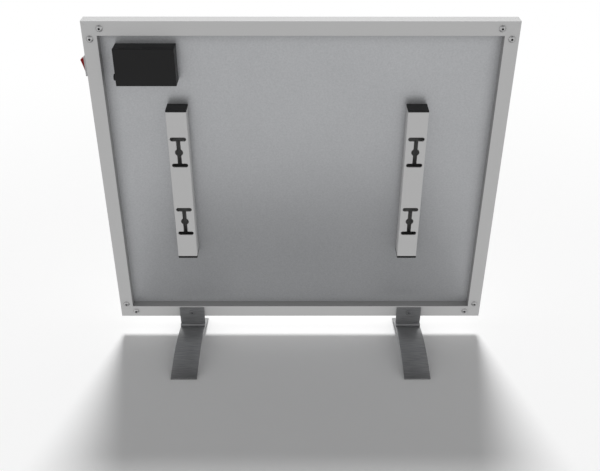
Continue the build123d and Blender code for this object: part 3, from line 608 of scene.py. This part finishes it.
# %% Tree that puts screws on points
def new_geometry_tree(name, inputs):
    """A Geometry Nodes tree with named inputs; returns it, what it is given and its results."""
    tree = bpy.data.node_groups.new(name, "GeometryNodeTree")
    tree.interface.new_socket(name="Points", in_out="INPUT", socket_type="NodeSocketGeometry")
    for label, kind in inputs.items():
        tree.interface.new_socket(name=label, in_out="INPUT", socket_type=kind)
    tree.interface.new_socket(name="Result", in_out="OUTPUT", socket_type="NodeSocketGeometry")
    return tree, add(tree, "NodeGroupInput").outputs, add(tree, "NodeGroupOutput").inputs


screw_tree, given, result = new_geometry_tree("Screws on points", {
    "Screw": "NodeSocketObject",
    "Lean": "NodeSocketRotation",
    "Seed": "NodeSocketInt",
    "Finish": "NodeSocketMaterial",
    "Painted socket shade": "NodeSocketMaterial",
})
screw = add(
    screw_tree, "GeometryNodeObjectInfo", {"Object": given["Screw"]}, transform_space="ORIGINAL",
)
angle = add(screw_tree, "FunctionNodeRandomValue", {"Seed": given["Seed"]}, data_type="FLOAT")
feed(screw_tree, by_identifier(angle.inputs, "Max_001"), 2 * pi)
spin = add(screw_tree, "FunctionNodeAxisAngleToRotation", {
    "Axis": (0, 0, 1), "Angle": by_identifier(angle.outputs, "Value_001"),
})
stance = add(screw_tree, "FunctionNodeRotateRotation", {
    "Rotation": given["Lean"], "Rotate By": spin.outputs["Rotation"],
}, rotation_space="LOCAL")
copies = add(screw_tree, "GeometryNodeInstanceOnPoints", {
    "Points": given["Points"], "Instance": screw.outputs["Geometry"],
    "Rotation": stance.outputs["Rotation"],
})
real = add(
    screw_tree, "GeometryNodeRealizeInstances", {"Geometry": copies.outputs["Instances"]},
)
coated = add(screw_tree, "GeometryNodeSetMaterial", {
    "Geometry": real.outputs["Geometry"], "Material": given["Finish"],
})
# The socket faces take the dark material, which paints the shade inside the hole.
in_socket = add(
    screw_tree, "GeometryNodeInputNamedAttribute", {"Name": "socket"}, data_type="BOOLEAN",
)
lined = add(screw_tree, "GeometryNodeSetMaterial", {
    "Geometry": coated.outputs["Geometry"],
    "Selection": next(
        output for output in in_socket.outputs
        if output.type == "BOOLEAN" and output.name == "Attribute"
    ),
    "Material": given["Painted socket shade"],
})
feed(screw_tree, result["Result"], lined.outputs["Geometry"])
print("inputs of the tree:", [item.name for item in screw_tree.interface.items_tree])

# %% Run a tree and keep its result as a plain mesh
def run_tree(name, tree, start, values):
    """The result of a Geometry Nodes tree on a start mesh, as a new plain object."""
    carrier = new_object(name + " carrier", start)
    modifier = carrier.modifiers.new("nodes", "NODES")
    modifier.node_group = tree
    for item in tree.interface.items_tree:
        if item.in_out == "INPUT" and item.name in values:
            modifier[item.identifier] = values[item.name]
    evaluated = carrier.evaluated_get(bpy.context.evaluated_depsgraph_get())
    mesh = bpy.data.meshes.new_from_object(evaluated)
    carrier.modifiers.remove(modifier)
    bpy.data.objects.remove(carrier)
    return new_object(name, mesh)


def smooth_by_angle(piece, degrees):
    """Smooth shading, but sharp where faces meet at more than this angle."""
    piece.data.shade_smooth()
    piece.data.set_sharp_from_angle(angle=radians(degrees))


rearward = Euler((-pi / 2 - lean, 0, 0))
screw_inset = 25  # in mm, an outer corner of the frame to a screw, along the rail
foot_screw_up, foot_plate_thickness = 8, 2  # in mm

corner_places = []
for side in (-1, 1):
    for edge_up, inward in ((0, 1), (panel_height, -1)):
        for out, up in ((screw_inset, rail_width / 2), (rail_width / 2, screw_inset)):
            corner_places.append(on_panel(side * (panel_width / 2 - out), edge_up + inward * up, 0))
foot_places = [
    on_panel(side * foot_across, foot_screw_up, -foot_plate_thickness) for side in (-1, 1)
]

for name, places, screw, seed, replaced, finish, socket_shade_finish, slot in (
    ("frame_screws", corner_places, frame_screw, 4, "corner_screws",
     screw_steel, socket_shade_steel, "screw_steel"),
    ("foot_fixing_screws", foot_places, foot_screw, 9, "foot_screws",
     plate_screw_steel, plate_socket_shade_steel, "foot_steel"),
):
    points = bpy.data.meshes.new(name + " points")
    points.from_pydata(places, [], [])
    made = run_tree(name, screw_tree, points, {
        "Screw": screw, "Lean": rearward, "Seed": seed,
        "Finish": finish, "Painted socket shade": socket_shade_finish,
    })
    smooth_by_angle(made, degrees=35)
    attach(made, "heater")
    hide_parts(replaced)
    print(name, "made with", len(made.data.polygons), "faces")
for screw in (frame_screw, foot_screw):
    bpy.data.objects.remove(screw)

# %% [markdown]
# ## Arched feet by Geometry Nodes
# Each foot is a steel strip bent to an arc, with its toes ground flat on the floor. Its shape
# follows a rule, so a node tree makes it: a finely divided block whose upper points move onto the
# outer arc and whose lower points move onto the inner arc, but never below the floor. A small
# bevel then breaks the long edges, which is where brushed steel catches the light.

# %% Tree of a foot arch
arch_tree, given, result = new_geometry_tree("Foot arch", {
    "Width": "NodeSocketFloat",
    "Span": "NodeSocketFloat",
    "Crown": "NodeSocketFloat",
    "Toe": "NodeSocketFloat",
    "Thickness": "NodeSocketFloat",
    "Middle": "NodeSocketFloat",
    "Finish": "NodeSocketMaterial",
})
size = add(arch_tree, "ShaderNodeCombineXYZ", {
    "X": given["Width"], "Y": given["Span"], "Z": 1.0,
})
block = add(arch_tree, "GeometryNodeMeshCube", {
    "Size": size.outputs["Vector"], "Vertices Y": 121,
})
position = add(arch_tree, "GeometryNodeInputPosition")
parts = add(arch_tree, "ShaderNodeSeparateXYZ", {"Vector": position.outputs["Position"]})


def squared(value):
    """The square of a value of the arch's tree."""
    return calculate(arch_tree, "POWER", value, 2.0)


rise = calculate(arch_tree, "SUBTRACT", given["Crown"], given["Toe"])
half_span = calculate(arch_tree, "MULTIPLY", given["Span"], 0.5)
squares = calculate(arch_tree, "ADD", squared(half_span), squared(rise))
radius = calculate(arch_tree, "DIVIDE", squares, calculate(arch_tree, "MULTIPLY", rise, 2.0))
centre = calculate(arch_tree, "SUBTRACT", given["Crown"], radius)
along = squared(calculate(arch_tree, "ABSOLUTE", parts.outputs["Y"]))


def arc(reach):
    """Height of an arc of this radius above the floor."""
    drop = calculate(arch_tree, "SUBTRACT", squared(reach), along)
    return calculate(arch_tree, "ADD", centre, calculate(arch_tree, "SQRT", drop))


print("inputs of the arch:", [item.name for item in arch_tree.interface.items_tree])

# %% Heights of the arch
upper = arc(radius)
lower = arc(calculate(arch_tree, "SUBTRACT", radius, given["Thickness"]))
lower = calculate(arch_tree, "MAXIMUM", lower, 0.0)
is_upper = calculate(arch_tree, "GREATER_THAN", parts.outputs["Z"], 0.0)
is_lower = calculate(arch_tree, "SUBTRACT", 1.0, is_upper)
height = calculate(
    arch_tree, "ADD",
    calculate(arch_tree, "MULTIPLY", is_upper, upper),
    calculate(arch_tree, "MULTIPLY", is_lower, lower),
)
spot = add(arch_tree, "ShaderNodeCombineXYZ", {
    "X": calculate(arch_tree, "ADD", parts.outputs["X"], given["Middle"]),
    "Y": parts.outputs["Y"], "Z": height,
})
bent = add(arch_tree, "GeometryNodeSetPosition", {
    "Geometry": block.outputs["Mesh"], "Position": spot.outputs["Vector"],
})
real = add(arch_tree, "GeometryNodeRealizeInstances", {"Geometry": bent.outputs["Geometry"]})
coated = add(arch_tree, "GeometryNodeSetMaterial", {
    "Geometry": real.outputs["Geometry"], "Material": given["Finish"],
})
feed(arch_tree, result["Result"], coated.outputs["Geometry"])
print("nodes in the arch's tree:", len(arch_tree.nodes))

# %% Make the two arches
def break_edges(piece, width, segments, degrees, smooth_degrees):
    """Bevel edges sharper than an angle, keep the result as a plain mesh, and smooth it."""
    bevel = piece.modifiers.new("broken edges", "BEVEL")
    bevel.width = width
    bevel.segments = segments
    bevel.limit_method = "ANGLE"
    bevel.angle_limit = radians(degrees)
    evaluated = piece.evaluated_get(bpy.context.evaluated_depsgraph_get())
    mesh = bpy.data.meshes.new_from_object(evaluated)
    piece.modifiers.clear()
    piece.data = mesh
    smooth_by_angle(piece, smooth_degrees)


for side, direction in (("plain_side", -1), ("switch_side", 1)):
    name = "foot_arch_" + side
    arch = run_tree("brushed_arch_" + side, arch_tree, bpy.data.meshes.new(name + " start"), {
        "Width": 0.0408, "Span": 0.186, "Crown": 0.02, "Toe": 0.002, "Thickness": 0.003,
        "Middle": direction * foot_across / 1000, "Finish": foot_steel,
    })
    break_edges(arch, width=0.0003, segments=2, degrees=50, smooth_degrees=25)
    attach(arch, "heater")
    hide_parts(name)
    low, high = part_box(name)
    print(name, "crown in mm:", round(1000 * high.z, 1))

# %% [markdown]
# ## Caps and bent plates with broken edges
# The moulded caps at the tubes' ends and the feet's bent plates have the right shape in the model,
# but perfectly sharp edges. A copy of such a solid is merged into clean faces and gets a small
# bevel, so that its edges catch light as they do on a moulded or a pressed piece. The lower caps
# also get the thicker rim that the photograph shows, and the plates' rolled heels are pressed
# flatter where they stand on the arches.

# %% Soft copies of solids
merge_distance = 0.000005  # in metres
flat_angle = radians(1)  # faces that meet at less than this become one


def soft_copy(name, node, width, reshape):
    """A merged and reshaped copy of a solid with bevelled edges, which takes its place."""
    mesh = bmesh.new()
    mesh.from_mesh(nodes[node].data)
    bmesh.ops.remove_doubles(mesh, verts=mesh.verts, dist=merge_distance)
    bmesh.ops.dissolve_limit(
        mesh, angle_limit=flat_angle, verts=mesh.verts, edges=mesh.edges,
        use_dissolve_boundaries=False,
    )
    for corner in mesh.verts:
        corner.co = reshape(corner.co)
    bmesh.ops.recalc_face_normals(mesh, faces=mesh.faces)
    data = bpy.data.meshes.new(name)
    mesh.to_mesh(data)
    mesh.free()
    data.materials.clear()
    data.materials.append(nodes[node].material_slots[0].material)
    copy = new_object(name, data)
    break_edges(copy, width, segments=2, degrees=40, smooth_degrees=28)
    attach(copy, "heater")
    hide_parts(node)
    return copy


# %% Soft caps with a thicker lower rim
rim_growth, rim_tolerance = 0.0012, 0.0001  # in metres


def up_the_panel(place):
    """How far up the panel a place is, in metres."""
    return (place - rear_edge).dot(panel_up)


lowest = min(up_the_panel(corner.co) for corner in nodes["tube_end_caps"].data.vertices)


def thicker_lower_rim(place):
    """Moves the underside of the lower caps down along the panel."""
    is_lowest = up_the_panel(place) < lowest + rim_tolerance
    return place - panel_up * rim_growth if is_lowest else place


caps = soft_copy(
    "soft_tube_caps", "tube_end_caps", width=0.0004, reshape=thicker_lower_rim,
)
print("caps made with", len(caps.data.polygons), "faces")

# %% Bent plates with pressed heels
heel_length = 0.003  # in metres, back from the outermost point
heel_press = 0.7  # share of the way to it


def pressed_heel(place):
    """Moves the lower half of a plate's rolled heel most of the way to its outermost point."""
    if place.z < outermost.z and place.y > outermost.y - heel_length:
        return place + Vector((0, heel_press * (outermost.y - place.y), 0))
    return place


for side in ("plain_side", "switch_side"):
    solid = nodes["foot_bracket_" + side].data
    outermost = max((corner.co for corner in solid.vertices), key=lambda place: place.y)
    plate = soft_copy(
        "bent_plate_" + side, "foot_bracket_" + side, width=0.0003, reshape=pressed_heel,
    )
    print(plate.name, "made with", len(plate.data.polygons), "faces")

# %% [markdown]
# ## The rocker
# The rocker is moulded with round edges that the plain solid lacks. Its side is drawn as in the
# solid: a shallow dish between two tips, round ends that clear the housing, and a nose that
# pushes the contact below. The drawing is given its width, and a bevel softens all its edges.
# It rests with its upper end out, turned about the pins by 15.2 degrees.

# %% Drawing of the rocker's side
tip_rise, tip_reach, dish = 5.3, 10.6, 0.4  # in mm, as all sizes here
nose_radius, nose_reach = 1.2, 7.0
nose_middle = nose_radius - nose_reach
half_dish_steps, end_steps, nose_turns = 8, 12, range(110, 260, 20)  # turns in degrees
end_radius = sqrt(tip_rise ** 2 + tip_reach ** 2)
tip_angle = atan2(tip_reach, tip_rise)
skirt_angle = radians(90 + 20)


def rocker_outline():
    """The rocker's side as points round the pin, in millimetres, outwards and up."""
    dish_radius = (tip_reach ** 2 + dish ** 2) / (2 * dish)
    top = [tip_reach * (step / half_dish_steps - 1) for step in range(2 * half_dish_steps + 1)]
    points = [(tip_rise - dish + dish_radius - sqrt(dish_radius ** 2 - up ** 2), up) for up in top]
    for step in range(1, end_steps + 1):
        angle = tip_angle + step / end_steps * (skirt_angle - tip_angle)
        points.append((end_radius * cos(angle), end_radius * sin(angle)))
    skirt = points[-1][0]
    points += [(skirt, nose_radius), (nose_middle, nose_radius)]
    for degrees in nose_turns:
        turn = radians(degrees)
        points.append((nose_middle + nose_radius * cos(turn), nose_radius * sin(turn)))
    points += [(nose_middle, -nose_radius), (skirt, -nose_radius)]
    for step in range(end_steps):
        angle = -skirt_angle + step / end_steps * (skirt_angle - tip_angle)
        points.append((end_radius * cos(angle), end_radius * sin(angle)))
    return points


print("points of the drawing:", len(rocker_outline()))

# %% Rocker with soft edges
tilt = radians(-15.2)
pin_up = panel_height - 64.7  # in mm up the panel
switch_depth = 6.95  # in mm, from the rear face of the rails to the middle of the switch
rocker_width = 8.5  # in mm
mesh = bmesh.new()
outline = []
for out, up in rocker_outline():
    across = panel_width / 2 + out * cos(tilt) - up * sin(tilt)
    along = pin_up + out * sin(tilt) + up * cos(tilt)
    outline.append(mesh.verts.new(on_panel(across, along, switch_depth - rocker_width / 2)))
side_face = mesh.faces.new(outline)
grown = bmesh.ops.extrude_face_region(mesh, geom=[side_face])
moved = [item for item in grown["geom"] if isinstance(item, bmesh.types.BMVert)]
bmesh.ops.translate(mesh, verts=moved, vec=panel_front * rocker_width / 1000)
bmesh.ops.recalc_face_normals(mesh, faces=mesh.faces)
rocker_mesh = bpy.data.meshes.new("soft_rocker")
mesh.to_mesh(rocker_mesh)
mesh.free()
rocker_mesh.materials.append(rocker_plastic)
rocker = new_object("soft_rocker", rocker_mesh)
break_edges(rocker, width=0.00035, segments=3, degrees=40, smooth_degrees=40)
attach(rocker, "rocker")
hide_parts("rocker")
print("rocker made with", len(rocker.data.polygons), "faces")

# %% [markdown]
# ## The floor
# The photograph has a white floor without an edge. The floor is a large plane that keeps the
# heater's shadow. For light that bounces from it back to the heater it counts as evenly lit, as
# if white boards lay around it, which gives the evenly lit back of the photograph. Further away
# it fades to plain white for the camera, so that no horizon shows.

# %% Floor
half_floor = 30  # in metres
near_dark, near_light, front_tone = (0.955,) * 3, (0.97,) * 3, (0.995,) * 3
front_start, front_end = 0.5, -1.5  # in metres, from behind the heater to before it
corners = [(x * half_floor, y * half_floor, 0) for x, y in ((-1, -1), (1, -1), (1, 1), (-1, 1))]
floor_mesh = bpy.data.meshes.new("floor")
floor_mesh.from_pydata(corners, [], [(0, 1, 2, 3)])
floor = new_object("floor", floor_mesh)
floor_finish = bpy.data.materials.new("white floor")
floor_finish.use_nodes = True
tree = floor_finish.node_tree
shader = tree.nodes["Principled BSDF"]
place = add(tree, "ShaderNodeTexCoord")
split = add(tree, "ShaderNodeSeparateXYZ", {"Vector": place.outputs["Object"]})
in_front = smooth_ramp(tree, split.outputs["Y"], front_start, front_end)
cloud = use_group(tree, cloudiness, Clouds_per_metre=3.0)["Cloud"]
near = blend_colours(tree, cloud, (*near_dark, 1), (*near_light, 1))
feed_all(tree, shader.inputs, {
    "Base Color": blend_colours(tree, in_front, near, (*front_tone, 1)),
    "Roughness": 0.9, "Specular IOR Level": 0.1,
})
print("floor made, its edge in metres:", 2 * half_floor)

# %% What the floor is for each kind of light
board_level = 0.73
fade_middle, fade_start, fade_end = (0, 0.5, 0), 0.95, 2.7  # in metres
paths = add(tree, "ShaderNodeLightPath")
boards = add(tree, "ShaderNodeEmission", {"Strength": board_level})
lit_floor = add(tree, "ShaderNodeMixShader", {
    0: paths.outputs["Is Diffuse Ray"], 1: shader.outputs["BSDF"], 2: boards.outputs["Emission"],
})
from_heater = add(tree, "ShaderNodeVectorMath", {
    0: place.outputs["Object"], 1: fade_middle,
}, operation="DISTANCE")
distant = smooth_ramp(tree, from_heater.outputs["Value"], fade_start, fade_end)
white = add(tree, "ShaderNodeEmission")
fading = add(tree, "ShaderNodeMixShader", {
    0: calculate(tree, "MULTIPLY", paths.outputs["Is Camera Ray"], distant),
    1: lit_floor.outputs["Shader"], 2: white.outputs["Emission"],
})
feed(tree, tree.nodes["Material Output"].inputs["Surface"], fading.outputs["Shader"])
floor_finish.cycles.emission_sampling = "NONE"
floor_mesh.materials.append(floor_finish)
print("nodes in the floor's tree:", len(tree.nodes))

# %% [markdown]
# ## The light
# One broad lamp stands high in front of the heater, and soft light comes from all around. So the
# heater's back is in its own shade, and its shadow falls towards the camera. A wide sun gives the
# soft shadow, and a pale world with a darker ceiling fills the shade: it looks white to the
# camera, and metal shows the bright walls and the dark ceiling.

# %% Lamp and world
lamp_elevation = radians(59)
fill_level = 0.55
ceiling_start, ceiling_level = 0.45, 0.15
sun = new_object("broad lamp", bpy.data.lights.new("broad lamp", "SUN"))
sun.data.energy = 2.3
sun.data.angle = radians(14)
beam = Vector((0, cos(lamp_elevation), -sin(lamp_elevation)))
sun.rotation_euler = beam.to_track_quat("-Z", "Y").to_euler()

world = bpy.data.worlds.new("studio")
bpy.context.scene.world = world
world.use_nodes = True
world.cycles.sampling_method = "NONE"
tree = world.node_tree
paths = add(tree, "ShaderNodeLightPath")
direction = add(tree, "ShaderNodeTexCoord")
split = add(tree, "ShaderNodeSeparateXYZ", {"Vector": direction.outputs["Generated"]})
ceiling = smooth_ramp(tree, split.outputs["Z"], ceiling_start, 1.0, 1.0, ceiling_level)
level = calculate(
    tree, "MULTIPLY_ADD", paths.outputs["Is Glossy Ray"], 1.0 - fill_level, fill_level,
)
level = calculate(tree, "MULTIPLY", level, ceiling)
seen = calculate(
    tree, "MAXIMUM", paths.outputs["Is Camera Ray"], paths.outputs["Is Transmission Ray"],
)
feed_all(tree, tree.nodes["Background"].inputs, {
    "Color": (1, 1, 1, 1), "Strength": calculate(tree, "MAXIMUM", seen, level),
})

view = bpy.context.scene.view_settings
view.view_transform = "Standard"
print("lamp strength:", sun.data.energy)

# %% [markdown]
# ## The last step
# The pieces made here should stay inside the box of the model's solids. The last line updates
# the scene.

# %% Update the scene
bpy.context.view_layer.update()
